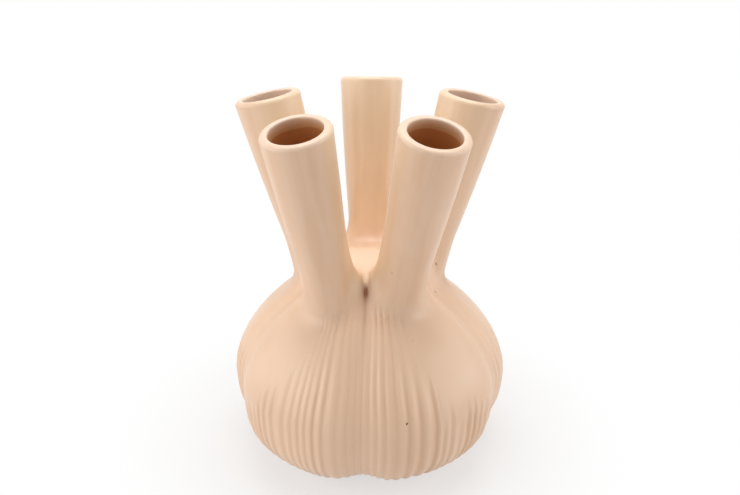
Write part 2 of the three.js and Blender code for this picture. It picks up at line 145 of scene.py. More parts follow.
class VaseFinish(bpy.types.PropertyGroup):
    """Colours of the glaze and the bare clay."""

    glaze: colour("Glaze", "Colour of the glaze", 0.80, 0.55, 0.378)
    thick_glaze: colour("Thick glaze", "Colour where the glaze is thick or pooled", 0.72, 0.45, 0.28)
    # Painted highlight on the lips and crown, and painted light in the side necks' bores
    painted_highlight_glaze: colour("Highlight glaze", "Colour of the painted highlight on lips and crown and the painted light in side necks' bores", 0.88, 0.66, 0.50)
    # Painted light on the sides of the necks, and of the crown, that face the other necks
    painted_light_glaze: colour("Painted light glaze", "Colour of the painted light where necks face each other", 0.87, 0.645, 0.435)
    # Partly pooled glaze and partly painted shade in the fold and its pit
    stain_and_shade: colour("Stain and shade", "Colour of the pooled glaze and painted shade at the top of the folds", 0.31, 0.12, 0.05)
    # Painted shade that darkens the light strip inside a lip towards the bore
    lip_shade: colour("Lip shade", "Colour of the painted shade where the light strip inside a lip darkens into the bore", 0.66, 0.36, 0.17)
    bore: colour("Bore", "Colour of the necks' inside below the lip", 0.53, 0.215, 0.07)
    # Painted shade at the bottom of the pinholes; weaker, it also colours the scattered dark specks
    pinhole_shade: colour("Pinhole shade", "Painted shade at the bottom of the pinholes, and the colour of the dark specks", 0.03, 0.015, 0.01)
    clay: colour("Clay", "Colour of the bare clay under the base", 0.66, 0.53, 0.41)
    roughness: fraction("Roughness", "Roughness of the satin glaze", 0.42)
    coat: fraction("Sheen", "Weight of the glassy top of the glaze", 0.25)
    coat_roughness: fraction("Sheen roughness", "Roughness of that glassy top", 0.22)


class VaseStage(bpy.types.PropertyGroup):
    """Light, floor and camera."""

    floor: colour("Floor", "Colour of the floor", 0.86, 0.86, 0.86)
    sky: fraction("Surround", "Strength of the even light from all round", 0.38)


def ramp(value, low, high):
    """0 at low and 1 at high, which may be the lower of the two, and straight between."""
    return np.clip((value - low) / (high - low), 0, 1)


def smooth(value, low, high):
    """The same with a soft start and end."""
    part = ramp(value, low, high)
    return part * part * (3 - 2 * part)


def bell(value, half_width):
    """1 where the value is 0, falling off smoothly to both sides."""
    return np.exp(-((value / half_width) ** 2))


def apart(azimuth, middle):
    """How far azimuths lie from a middle, in degrees from -180 to 180."""
    return (azimuth - middle + 180) % 360 - 180


def from_valley(azimuth):
    """How far azimuths, in radians, lie from the nearest valley, in degrees."""
    return np.minimum.reduce([np.abs(apart(np.degrees(azimuth), valley)) for valley in VALLEYS])


def polar(points):
    """Azimuths in radians, radii and heights of points."""
    return np.arctan2(points[:, 1], points[:, 0]), np.hypot(points[:, 0], points[:, 1]), points[:, 2]


def moved(points, matrix):
    turn = np.array(matrix.to_3x3())
    return points @ turn.T + np.array(matrix.translation)


class Form:
    """The bulb and the necks run together as wet clay: a distance that is below zero inside."""

    belly_flat = 17.4 * MM
    shoulder_fullness = 1.62
    under_fullness = 2.96
    crease_half_width = 7.5  # degrees
    crease_half_width_at_foot = 9.5
    foot_rise = 6 * MM
    uneven_angle = 38
    uneven_height = 30 * MM
    foot_ring = 40 * MM
    taper = 0.04
    taper_growth = 0.235
    # A neck's foot flares outward, between drops and between cosines of the angle from outward
    flare = 2.4 * MM
    flare_drops = (92 * MM, 126 * MM)
    flare_cosines = (-0.3, 0.5)
    outer_blend = 3.6 * MM
    web_blend = 9.5 * MM
    web_radii = (36 * MM, 52 * MM)
    longest_neck = 150 * MM
    slope_step = 0.05 * MM
    longest_move = 2 * MM
    search_step = 0.5 * MM
    search_steps = 40
    halvings = 16

    def __init__(self, shape):
        self.shape = shape
        self.necks = [self.neck_frame(index) for index in range(LOBES)]

    def neck_frame(self, index):
        """A neck's own frame: the origin is the rim's centre, +Z runs out of the mouth and +X leans outward."""
        _, turn, extra_lean, _, extra_height = NECKS[index]
        azimuth = math.radians(FIRST_LOBE + LOBE_ANGLE * index + turn)
        lean = self.shape.neck_lean + math.radians(extra_lean)
        reach = self.shape.rim_circle
        place = (reach * math.cos(azimuth), reach * math.sin(azimuth), self.shape.rim_height + extra_height)
        return Matrix.Translation(place) @ Matrix.Rotation(azimuth, 4, "Z") @ Matrix.Rotation(lean, 4, "Y")

    def local(self, points, index):
        """Points in a neck's own frame."""
        return moved(points, self.necks[index].inverted())

    def neck_outside(self, drop):
        """Outside radius of a neck at a drop below its rim."""
        return self.shape.rim_radius - self.taper * drop - self.taper_growth * drop * drop

    def drawn_in(self, azimuth, height, radius):
        """How far the valleys and the uneven sides draw the round bulb in."""
        shape = self.shape
        down = np.clip(1 - height / shape.belly_height, 0, 1)
        deep = shape.crease_depth + (shape.crease_depth_at_foot - shape.crease_depth) * down**2
        wide = self.crease_half_width + (self.crease_half_width_at_foot - self.crease_half_width) * down
        total = deep * bell(from_valley(azimuth), wide)
        for middle, level, depth in UNEVEN:
            aside = bell(apart(np.degrees(azimuth), middle), self.uneven_angle)
            total = total + depth * aside * bell(height - level, self.uneven_height)
        return total * smooth(height, 0, self.foot_rise) * np.minimum(1, radius / self.foot_ring)

    def halves(self, above):
        """Fullness, flat part and height of the shoulder where above is true, and of the underside."""
        shape = self.shape
        power = np.where(above, self.shoulder_fullness, self.under_fullness)
        flat = np.where(above, 0, self.belly_flat)
        return power, flat, np.where(above, shape.crown_height - shape.belly_height, shape.belly_height)

    def bulb_distance(self, points):
        azimuth, radius, height = polar(points)
        shape = self.shape
        power, flat, tall = self.halves(height > shape.belly_height)
        wide = shape.belly_radius - flat
        full = radius + self.drawn_in(azimuth, height, radius)
        across = np.maximum(full - flat, TINY) / wide
        along = np.maximum(np.abs(height - shape.belly_height), TINY) / tall
        total = across**power + along**power
        slope = np.hypot(across ** (power - 1) / wide, along ** (power - 1) / tall)
        return (total ** (1 / power) - 1) / (slope * total ** (1 / power - 1))

    def neck_distance(self, points, index):
        local = self.local(points, index)
        drop = np.clip(-local[:, 2], 0, self.longest_neck)
        across = np.hypot(local[:, 0], local[:, 1])
        outward = smooth(local[:, 0] / np.maximum(across, 1 * MM), *self.flare_cosines)
        flare = self.flare * outward * smooth(drop, *self.flare_drops)
        return across - self.neck_outside(drop) - flare

    def distance(self, points):
        outward = smooth(np.hypot(points[:, 0], points[:, 1]), *self.web_radii)
        blend = self.web_blend + (self.outer_blend - self.web_blend) * outward
        every = [self.bulb_distance(points), *(self.neck_distance(points, index) for index in range(LOBES))]
        least = np.minimum.reduce(every)
        total = sum(np.exp((least - each) / blend) for each in every)
        return least - blend * np.log(total)

    def settle(self, points, level, rounds=14):
        """Moves points along the slope of the distance until they have the distance asked for."""
        points = np.array(points, float)
        step = self.slope_step
        for _ in range(rounds):
            slope = np.empty_like(points)
            for axis in range(3):
                aside = np.zeros(3)
                aside[axis] = step
                slope[:, axis] = (self.distance(points + aside) - self.distance(points - aside)) / (2 * step)
            steep = np.maximum((slope**2).sum(1), TINY)
            move = slope * ((level - self.distance(points)) / steep)[:, None]
            size = np.linalg.norm(move, axis=1)
            points += move * np.minimum(1, self.longest_move / np.maximum(size, TINY))[:, None]
        return points

    def beside_neck(self, index, angles, radius, drop):
        """Points beside a neck's axis, at angles round it and a drop below the rim."""
        local = np.stack([radius * np.cos(angles), radius * np.sin(angles), -drop + 0 * angles], 1)
        return moved(local, self.necks[index])

    def neck_radius(self, index, angles, drop, level=0.0):
        """Radius at which rays across a neck's axis leave the clay."""
        within = self.neck_outside(drop) + level - 1 * MM + 0 * angles
        beyond = within.copy()
        for _ in range(self.search_steps):
            inside = self.distance(self.beside_neck(index, angles, beyond, drop)) < level
            within = np.where(inside, beyond, within)
            beyond = np.where(inside, beyond + self.search_step, beyond)
        for _ in range(self.halvings):
            middle = (within + beyond) / 2
            inside = self.distance(self.beside_neck(index, angles, middle, drop)) < level
            within = np.where(inside, middle, within)
            beyond = np.where(inside, beyond, middle)
        return (within + beyond) / 2

    def outline(self, level, count=4001):
        """Radii and heights of the plain bulb's outline, from the foot to the crown."""
        shape = self.shape
        turn = np.linspace(-math.pi / 2, math.pi / 2, count)
        power, flat, tall = self.halves(turn > 0)
        radius = flat + (shape.belly_radius + level - flat) * np.abs(np.cos(turn)) ** (2 / power)
        height = shape.belly_height + np.sign(turn) * (tall + level) * np.abs(np.sin(turn)) ** (2 / power)
        return radius, height

    def by_nearest_neck(self, points):
        """The index of each point's nearest neck, and its place in that neck's frame."""
        nearest = np.argmin([self.neck_distance(points, index) for index in range(LOBES)], axis=0)
        local = np.empty_like(points)
        for index in range(LOBES):
            here = nearest == index
            local[here] = self.local(points[here], index)
        return nearest, local


class Ribs:
    """The ribs of the bulb, shingled like dry skins: going away from the valley that they are counted from,
    each rises steeply from its groove and falls gently to the next."""

    # The ribs spread from the valleys towards the top, between these shares of the crown's height
    splay = 0.45
    splay_heights = (0.58, 1.1)
    lean = 0.72  # under 1, so that the rise is steeper than the fall
    change = (0.2, 0.8)  # the part of a rib over which one groove's depth gives way to the next's
    # A groove fades out over a length at its top, a shorter one near the crown
    overrun = 2 * MM
    run_out = 16 * MM
    short_run_out = 9 * MM
    high_top = 0.86
    # How plain the ribs are low down, and each change with its heights, near the front valley and for others,
    # which take over between these angles from it
    bold = (0.85, (0.2, 57 * MM, 76 * MM), (-0.4, 80 * MM, 106 * MM), (0.7, 107 * MM, 119 * MM))
    others = (1, (-0.86, 66 * MM, 100 * MM), (0.35, 107 * MM, 119 * MM))
    bold_edge = (14, 22)
    # The left shoulder is nearly bare of ribs
    bare_azimuth = 170
    bare_angles = (46, 32)
    bare_heights = (66 * MM, 84 * MM)
    # Under the bulb they fade out towards the base
    under_height = 40 * MM
    under_radii = (46 * MM, 66 * MM)

    def __init__(self, shape):
        self.shape = shape
        self.lobes = self.place_grooves()

    def place_grooves(self):
        """Each lobe's first valley and span in degrees, and its grooves as rows of share, top and depth."""
        lobes = []
        for lobe, (pattern, way) in enumerate(LOBE_GROOVES):
            first = VALLEYS[lobe]
            span = (VALLEYS + (VALLEYS[0] + 360,))[lobe + 1] - first
            rows = [VALLEY_GROOVE, *pattern, VALLEY_GROOVE]
            shares = [0, *(angle / LOBE_ANGLE for angle, _, _ in pattern), 1]
            placed = [(part if way > 0 else 1 - part, *row[1:]) for part, row in zip(shares, rows)]
            lobes.append((first, span, np.array(placed[::way])))
        return lobes

    def splayed(self, share, height, back=False):
        """Shares across a lobe at a height, from shares at the belly, or the other way."""
        low, high = (part * self.shape.crown_height for part in self.splay_heights)
        power = 1 / (1 + self.splay * smooth(height, low, high))
        if back:
            power = 1 / power
        aside = 1 - np.abs(2 * share - 1)
        return (1 + np.sign(share - 0.5) * (1 - np.clip(aside, 0, 1) ** power)) / 2

    def ring_azimuths(self, columns, height):
        """Azimuths of a ring at a height, in radians, by lobe. columns is the number for each rib."""
        azimuths = []
        for first, span, rows in self.lobes:
            edges = rows[:, 0]
            parts = np.arange(columns) / columns
            shares = (edges[:-1, None] + np.diff(edges)[:, None] * parts).ravel()
            azimuths.append(np.radians(first + span * self.splayed(shares, height)))
        return azimuths

    def relief(self, points):
        """How far the grooves between the ribs cut in."""
        azimuth, radius, height = polar(points)
        azimuth = np.degrees(azimuth)
        cut_in = np.zeros(len(points))
        for (first, span, rows), (_, way) in zip(self.lobes, LOBE_GROOVES):
            turn = (azimuth - first) % 360
            here = turn < span
            share = self.splayed(turn[here] / span, height[here], back=True)
            rib = np.clip(np.searchsorted(rows[:, 0], share, side="right") - 1, 0, len(rows) - 2)
            part = (share - rows[rib, 0]) / (rows[rib + 1, 0] - rows[rib, 0])
            outward = part if way > 0 else 1 - part
            ridge = (1 - np.cos(2 * math.pi * np.clip(outward, 0, 1) ** self.lean)) / 2
            low, high = (self.depth(rows[groove], height[here]) for groove in (rib, rib + 1))
            cut_in[here] = (1 - ridge) * (low + (high - low) * smooth(part, *self.change))
        return cut_in * self.shape.rib_height * self.plainness(azimuth, radius, height)

    def depth(self, rows, height):
        """Depth of grooves at heights, as a share of a rib's height."""
        top = rows[:, 1]
        run_out = np.where(top > self.high_top, self.short_run_out, self.run_out)
        return rows[:, 2] * smooth(top * self.shape.crown_height - height, -self.overrun, run_out)

    def plainness(self, azimuth, radius, height):
        """How plain the ribs are at each place."""
        outer = smooth(np.abs(apart(azimuth, FRONT_VALLEY)), *self.bold_edge)
        bold, others = self.changing(self.bold, height), self.changing(self.others, height)
        shoulder = smooth(np.abs(apart(azimuth, self.bare_azimuth)), *self.bare_angles)
        bare = shoulder * smooth(height, *self.bare_heights)
        foot = np.where(height < self.under_height, ramp(radius, *self.under_radii), 1)
        return (bold + (others - bold) * outer) * (1 - bare) * foot

    def changing(self, steps, height):
        start, *changes = steps
        return start + sum(change * smooth(height, low, high) for change, low, high in changes)


class Fold:
    """The fold where two necks and their lobes meet: a crease with a pit at its top, and above it two grooves
    with a bead of glaze between them. Depths are shares of the fold's depth."""

    radii = (29 * MM, 33 * MM)
    lowest = 60 * MM
    # It is strongest in front, within these angles of the front valley
    front_angles = (12, 6)
    strength_elsewhere = 0.25
    # Heights are where a form starts, is full, begins to fade and ends
    crease_depth = 0.5
    crease_half_width = 0.9 * MM
    crease_heights = (96 * MM, 122 * MM, 133 * MM, 136 * MM)
    groove_depth = 0.6
    groove_place = 1.9 * MM
    groove_half_width = 1.0 * MM
    groove_heights = (132 * MM, 136 * MM, 139 * MM, 144 * MM)
    pit_depth = 0.9
    pit_height = 131.5 * MM
    pit_half_size = (1.4 * MM, 2.6 * MM)
    # Pooled glaze and painted shade: round the pit, down the crease and in the pit's core, with less on the
    # lighter bead above
    pool_height = 132 * MM
    pool_half_size = (4.5 * MM, 7 * MM)
    run_half_width = 2.6 * MM
    run_heights = (92 * MM, 124 * MM)
    run_end = 134 * MM
    run_darkness = 0.5
    core_height = 131 * MM
    core_half_size = (2.2 * MM, 4.5 * MM)
    bead_half_width = 0.9 * MM
    bead_heights = (134 * MM, 137 * MM)
    bead_paleness = 0.9
    # The pooled glaze and painted shade is made of these parts
    shares = (0.35, 0.35, 0.3)  # of the pool, the core and the fold's depth in the stain

    def __init__(self, shape, points):
        azimuth, radius, self.height = polar(points)
        self.shape = shape
        self.aside = radius * np.sin(np.radians(from_valley(azimuth)))
        near = smooth(radius, *self.radii) * (self.height > self.lowest)
        front = smooth(np.abs(apart(np.degrees(azimuth), FRONT_VALLEY)), *self.front_angles)
        self.strength = near * (self.strength_elsewhere + (1 - self.strength_elsewhere) * front)

    def between(self, heights):
        start, full, fading, end = heights
        return smooth(self.height, start, full) * smooth(self.height, end, fading)

    def spot(self, height, half_size):
        """1 at a height on the fold, falling off within half sizes aside and up."""
        return bell(self.aside, half_size[0]) * bell(self.height - height, half_size[1])

    def depth(self):
        crease = bell(self.aside, self.crease_half_width) * self.between(self.crease_heights)
        pit = self.pit_depth * self.spot(self.pit_height, self.pit_half_size)
        beside = bell(self.aside - self.groove_place, self.groove_half_width)
        grooves = self.groove_depth * beside * self.between(self.groove_heights)
        return (self.crease_depth * crease + pit + grooves) * self.strength

    def relief(self):
        """How far the fold cuts in."""
        return self.depth() * self.shape.fold_depth

    def stain_and_shade(self):
        """How dark the pooled glaze and the painted shade in the fold are, from 0 to 1."""
        run = bell(self.aside, self.run_half_width) * smooth(self.height, *self.run_heights)
        run = self.run_darkness * run * (self.height < self.run_end)
        pool_and_shade = (self.spot(self.pool_height, self.pool_half_size) + run) * self.strength
        core = self.spot(self.core_height, self.core_half_size) * self.strength
        bead = bell(self.aside, self.bead_half_width) * smooth(self.height, *self.bead_heights)
        dark = sum(share * part for share, part in zip(self.shares, (pool_and_shade, core, self.depth())))
        return np.clip(dark * (1 - self.bead_paleness * bead), 0, 1)


def painted_light_share(local):
    """How much painted light the glaze gets round a neck, from 0 on its outer side to 1 on the side facing the
    other necks.
    """
    across = np.maximum(np.hypot(local[:, 0], local[:, 1]), 1 * MM)
    return smooth(-local[:, 0] / across, -0.45, 0.45)


def flow(local, index):
    """Coordinates that change slowly along a neck, in which noise makes streaks, its own on each neck."""
    slow, shift = 0.08, 0.3
    slowed = local * (1, 1, slow)
    slowed[:, 2] += shift * index
    return slowed


class Skin:
    """A closed surface under construction: rows of points, and faces anticlockwise seen from outside."""

    def __init__(self):
        self.points = []
        self.faces = []
        self.count = 0

    def add(self, points):
        """Adds points and returns their numbers."""
        points = np.atleast_2d(points)
        self.points.append(points)
        self.count += len(points)
        return np.arange(self.count - len(points), self.count)

    def grow(self, below, points):
        """Adds a row that is joined to the one below it."""
        row = self.add(points)
        self.faces.extend(np.stack([below, np.roll(below, -1), np.roll(row, -1), row], 1).tolist())
        return row

    def cap(self, row, faces_up):
        self.faces.append(list(row if faces_up else row[::-1]))

    def place(self, index):
        return np.concatenate(self.points)[index]

    def mesh(self, name):
        made = bpy.data.meshes.new(name)
        made.from_pydata(np.concatenate(self.points).tolist(), [], self.faces)
        made.update()
        return made


class BulbSkin(Skin):
    """Surface of the bulb and its collars at a level. Rows of points go round the bulb up to the patches, and
    above them each neck has a patch that runs in to its collar."""

    patch_height = 99 * MM
    line_rise = 4 * MM
    bend_drop = 110 * MM
    bend_clearance = 2 * MM
    ring_rounds = 8
    crown_rounds = 20
    line_rounds = 24

    def __init__(self, form, level, columns, rows, line_steps, patch_rows, crowding=1.0):
        """A crowding over 1 crowds a patch's rows to its edge."""
        super().__init__()
        self.form = form
        self.level = level
        top, starts = self.sides(columns, rows)
        crown_point = form.settle([[0, 0, form.shape.crown_height + level]], level, self.crown_rounds)
        begins = self.place(top[starts[:-1]])
        crown = self.add(crown_point)
        part = (np.arange(1, line_steps) / line_steps)[:, None]
        lines = []
        for begin in begins:
            line = begin + (crown_point - begin) * part + np.array([0, 0, self.line_rise])
            lines.append(self.add(form.settle(line, level, self.line_rounds)))
        for lobe in range(LOBES):
            ring = top[starts[lobe] : starts[lobe + 1] + 1]
            loop = np.concatenate([ring, lines[(lobe + 1) % LOBES], crown, lines[lobe][::-1]])
            self.patch(lobe, loop, patch_rows, crowding)

    def sides(self, columns, rows):
        """Adds the rows round the bulb. Returns the closed top row and each lobe's start in it."""
        form, level = self.form, self.level
        ribs = Ribs(form.shape)
        radii, heights = form.outline(level)
        start = np.argmax(radii > form.foot_ring)
        stop = np.argmax(heights > self.patch_height + level)
        radii, heights = radii[start:stop], heights[start:stop]
        run = np.concatenate([[0], np.cumsum(np.hypot(np.diff(radii), np.diff(heights)))])
        stations = np.linspace(0, run[-1], rows + 1)
        below = None
        for radius, height in zip(np.interp(stations, run, radii), np.interp(stations, run, heights)):
            by_lobe = ribs.ring_azimuths(columns, height)
            azimuths = np.concatenate(by_lobe)
            bare = radius - form.drawn_in(azimuths, height, radius)
            ring = np.stack([bare * np.cos(azimuths), bare * np.sin(azimuths), height + 0 * azimuths], 1)
            if below is None:
                below = self.add(ring)
                self.cap(below, False)
            else:
                below = self.grow(below, form.settle(ring, level, self.ring_rounds))
        return np.append(below, below[0]), np.cumsum([0] + [len(part) for part in by_lobe])

    def patch(self, lobe, loop, rows, crowding):
        """Adds the rows from a loop in to the neck's collar, along curves that bend at its foot."""
        form, level = self.form, self.level
        outer = self.place(loop)
        angles, _, _ = polar(form.local(outer, lobe))
        collar_radius = form.neck_radius(lobe, angles, COLLAR_DROP, level)
        collar = form.beside_neck(lobe, angles, collar_radius, COLLAR_DROP)
        bend_drop = self.bend_drop - level
        bend_radius = form.neck_outside(bend_drop) + level + self.bend_clearance
        bend = form.beside_neck(lobe, angles, bend_radius, bend_drop)
        below = loop
        for row in range(1, rows):
            part = (row / rows) ** crowding
            path = (1 - part) ** 2 * outer + 2 * part * (1 - part) * bend + part**2 * collar
            below = self.grow(below, form.settle(path, level))
        self.cap(self.grow(below, collar), True)


def add_object(name, data):
    made = bpy.data.objects.new(name, data)
    bpy.context.scene.collection.objects.link(made)
    return made


def activate(piece):
    bpy.ops.object.select_all(action="DESELECT")
    piece.select_set(True)
    bpy.context.view_layer.objects.active = piece


def mode(name):
    bpy.ops.object.mode_set(mode=name)


def select(everything):
    """Selects all of the mesh that is being edited, or none of it."""
    bpy.ops.mesh.select_all(action="SELECT" if everything else "DESELECT")


def apply_place(piece):
    activate(piece)
    bpy.ops.object.transform_apply(location=True, rotation=True, scale=True)


def upright_cylinder(radius, bottom, top, vertices=ROUND_SIDES):
    """Adds a cylinder on the axis between two heights, with its place in its mesh."""
    bpy.ops.mesh.primitive_cylinder_add(
        vertices=vertices, radius=radius, depth=top - bottom, location=(0, 0, (top + bottom) / 2)
    )
    made = bpy.context.object
    apply_place(made)
    return made


def raise_by(rise):
    """Extrudes what is selected upwards."""
    bpy.ops.mesh.extrude_region_move(TRANSFORM_OT_translate={"value": (0, 0, rise)})


def cut(piece, cutter):
    """Takes the cutter out of a piece and removes it."""
    activate(piece)
    modifier = piece.modifiers.new("Cut", "BOOLEAN")
    modifier.operation = "DIFFERENCE"
    modifier.solver = "MANIFOLD"
    modifier.object = cutter
    bpy.ops.object.modifier_apply(modifier=modifier.name)
    bpy.data.objects.remove(cutter)


def places(mesh):
    return np.array([vertex.co for vertex in mesh.vertices])


def give(mesh, name, values):
    """Gives each vertex a number or a place, under a name that the material reads."""
    if values.ndim == 1:
        made = mesh.attributes.new(name, "FLOAT", "POINT")
        made.data.foreach_set("value", values.astype(np.float32))
    else:
        made = mesh.attributes.new(name, "FLOAT_VECTOR", "POINT")
        made.data.foreach_set("vector", values.astype(np.float32).ravel())


def finish_piece(piece, nodes, surface):
    """Smooths a piece, and says its material and what it rides on and stands for."""
    activate(piece)
    bpy.ops.object.shade_smooth_by_angle(angle=math.radians(40))
    piece.data.materials.clear()
    piece.data.materials.append(surface)
    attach(piece, "root")
    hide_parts(*nodes)


class Value:
    """A shader socket that sums, differences, products and comparisons can be written with."""

    def __init__(self, graph, socket):
        self.graph = graph
        self.socket = socket

    def __add__(self, other):
        return self.graph.maths("ADD", self, other)

    __radd__ = __add__

    def __mul__(self, other):
        return self.graph.maths("MULTIPLY", self, other)

    __rmul__ = __mul__

    def __sub__(self, other):
        return self.graph.maths("SUBTRACT", self, other)

    def __rsub__(self, other):
        return self.graph.maths("SUBTRACT", other, self)

    def __gt__(self, other):
        return self.graph.maths("GREATER_THAN", self, other)


class Graph:
    """Nodes of one material or world."""

    def __init__(self, owner):
        owner.use_nodes = True
        self.owner = owner
        self.tree = owner.node_tree

    def node(self, kind, settings, inputs, output=0):
        made = self.tree.nodes.new(kind)
        for key, value in settings.items():
            setattr(made, key, value)
        return self.fill(made, inputs, output)

    def fill(self, node, inputs, output=0):
        """Sets or links a node's sockets."""
        for key, value in inputs.items():
            if isinstance(value, Value):
                self.tree.links.new(value.socket, node.inputs[key])
            else:
                node.inputs[key].default_value = value
        return Value(self, node.outputs[output]) if len(node.outputs) else None

    def maths(self, operation, *values):
        return self.node("ShaderNodeMath", {"operation": operation}, dict(enumerate(values)))

    def vector_maths(self, operation, *values, output=0):
        return self.node("ShaderNodeVectorMath", {"operation": operation}, dict(enumerate(values)), output)

    def coordinates(self):
        return self.node("ShaderNodeTexCoord", {}, {}, "Object")

    def noise(self, size, detail=2, roughness=0.5):
        """Noise with features of about that size, in metres."""
        inputs = {"Vector": self.coordinates(), "Scale": 1 / size, "Detail": detail, "Roughness": roughness}
        return self.node("ShaderNodeTexNoise", {}, inputs)

    def stretch(self, value, low, high):
        """0 where the value is at low, 1 where it is at high, and smooth between."""
        settings = {"interpolation_type": "SMOOTHSTEP"}
        inputs = {"Value": value, "From Min": low, "From Max": high}
        return self.node("ShaderNodeMapRange", settings, inputs)

    def mix(self, factor, first, second):
        colours = {6: first, 7: second}
        settled = {key: value if isinstance(value, Value) else (*value, 1) for key, value in colours.items()}
        return self.node("ShaderNodeMix", {"data_type": "RGBA"}, {0: factor, **settled}, 2)

    def attribute(self, name, output="Fac"):
        return self.node("ShaderNodeAttribute", {"attribute_name": name}, {}, output)

    def bump(self, height, strength, distance):
        return self.node("ShaderNodeBump", {}, {"Height": height, "Strength": strength, "Distance": distance})

    def shows_background(self):
        """1 for the rays that show the white background: the camera's and those that gloss reflects."""
        path = "ShaderNodeLightPath"
        return self.node(path, {}, {}, "Is Camera Ray") + self.node(path, {}, {}, "Is Glossy Ray")

    def surface(self, inputs):
        return self.fill(self.tree.nodes["Principled BSDF"], inputs)


# Pinholes and flecks in the glaze: place and half size along each axis, in metres, and strength. They are deep,
# so that they show wherever the surface passes.
PINHOLES = (
    ((0.0265, -0.0899, 0.0655), (0.6 * MM, 4 * MM, 0.7 * MM), 1.0),
    ((0.016, -0.0498, 0.1504), (0.7 * MM, 4 * MM, 0.3 * MM), 0.45),
    ((0.0447, -0.0016, 0.1345), (4 * MM, 0.35 * MM, 1.4 * MM), 0.5),
    ((0.0447, -0.0122, 0.1185), (4 * MM, 0.5 * MM, 1.1 * MM), 0.35),
    ((0.0299, -0.0581, 0.1067), (0.45 * MM, 4 * MM, 0.45 * MM), 0.15),
    ((0.0319, -0.0697, 0.0954), (0.4 * MM, 4 * MM, 0.45 * MM), 0.15),
)


def pinholes(graph):
    """How much of a hole lies at each place, of the known pinholes and a scatter of specks."""
    marks = []
    for place, half_size, strength in PINHOLES:
        offset = graph.vector_maths("SUBTRACT", graph.coordinates(), place)
        away = graph.vector_maths("LENGTH", graph.vector_maths("DIVIDE", offset, half_size), output="Value")
        marks.append(graph.stretch(away, low=1.25, high=0.75) * strength)
    cell = {"Vector": graph.coordinates(), "Scale": 1 / (7 * MM)}
    near = graph.node("ShaderNodeTexVoronoi", {}, cell)
    pick = graph.node("ShaderNodeTexVoronoi", {}, cell, "Color")
    chosen = graph.node("ShaderNodeSeparateColor", {}, {"Color": pick}) > 0.8
    return sum(marks) + graph.stretch(near, low=0.05, high=0.025) * chosen * 0.35


def glaze_material(finish):
    graph = Graph(bpy.data.materials.new("Satin glaze"))
    mottle = graph.stretch(graph.noise(45 * MM, detail=3), low=0.35, high=0.7)
    cloud = graph.stretch(graph.noise(14 * MM, detail=3), low=0.4, high=0.75)
    flowing = {"Vector": graph.attribute("flow", "Vector"), "Scale": 1 / (9 * MM), "Detail": 2}
    streak = graph.stretch(graph.node("ShaderNodeTexNoise", {}, flowing), low=0.4, high=0.65)
    thick = mottle * 0.2 + cloud * 0.1 + streak * graph.attribute("streaky") * 0.42
    marks = pinholes(graph)
    body = graph.mix(thick, finish.glaze, finish.thick_glaze)
    for cover, tone in (
        (graph.attribute("pooled"), finish.thick_glaze),
        # Painted light where the necks and the crown face each other
        (graph.attribute("painted_light") * (1 - thick * 0.4), finish.painted_light_glaze),
        # Painted highlight on the lips and crown, painted light in the side necks' bores
        (graph.attribute("painted_highlight"), finish.painted_highlight_glaze),
        # Painted shade and pooled glaze in the fold and its pit
        (graph.attribute("stain_and_shade"), finish.stain_and_shade),
        # Painted shade in the upper bore, darker downwards
        (graph.attribute("lip_shade"), finish.lip_shade),
        (graph.attribute("inside"), finish.bore),
        # Painted shade in the pinholes, and dark specks
        (marks, finish.pinhole_shade),
    ):
        body = graph.mix(cover, body, tone)
    unevenness = (graph.noise(9 * MM) - 0.5) * 0.12
    graph.surface(
        {
            "Base Color": body,
            "Roughness": finish.roughness + unevenness + marks * 0.3,
            "Coat Weight": finish.coat,
            "Coat Roughness": finish.coat_roughness,
            "Normal": graph.bump(graph.noise(1.6 * MM, detail=3) - marks, strength=0.12, distance=0.15 * MM),
        }
    )
    return graph.owner


def clay_material(finish):
    graph = Graph(bpy.data.materials.new("Bare fired clay"))
    grain = graph.noise(0.8 * MM, detail=4, roughness=0.7)
    # Darker blotches of the bare clay itself, at random
    stain_and_shade = graph.noise(22 * MM, detail=3)
    dark = [0.8 * part for part in finish.clay]
    graph.surface(
        {
            "Base Color": graph.mix(graph.stretch(grain, 0.45, 0.7) * 0.3 + stain_and_shade * 0.4, finish.clay, dark),
            "Roughness": 0.78 + grain * 0.2,
            "Normal": graph.bump(grain, strength=0.5, distance=0.2 * MM),
        }
    )
    return graph.owner


def material(name, maker):
    """A shared material, made when it is first asked for."""
    return bpy.data.materials.get(name) or maker(bpy.context.scene.vase_finish)


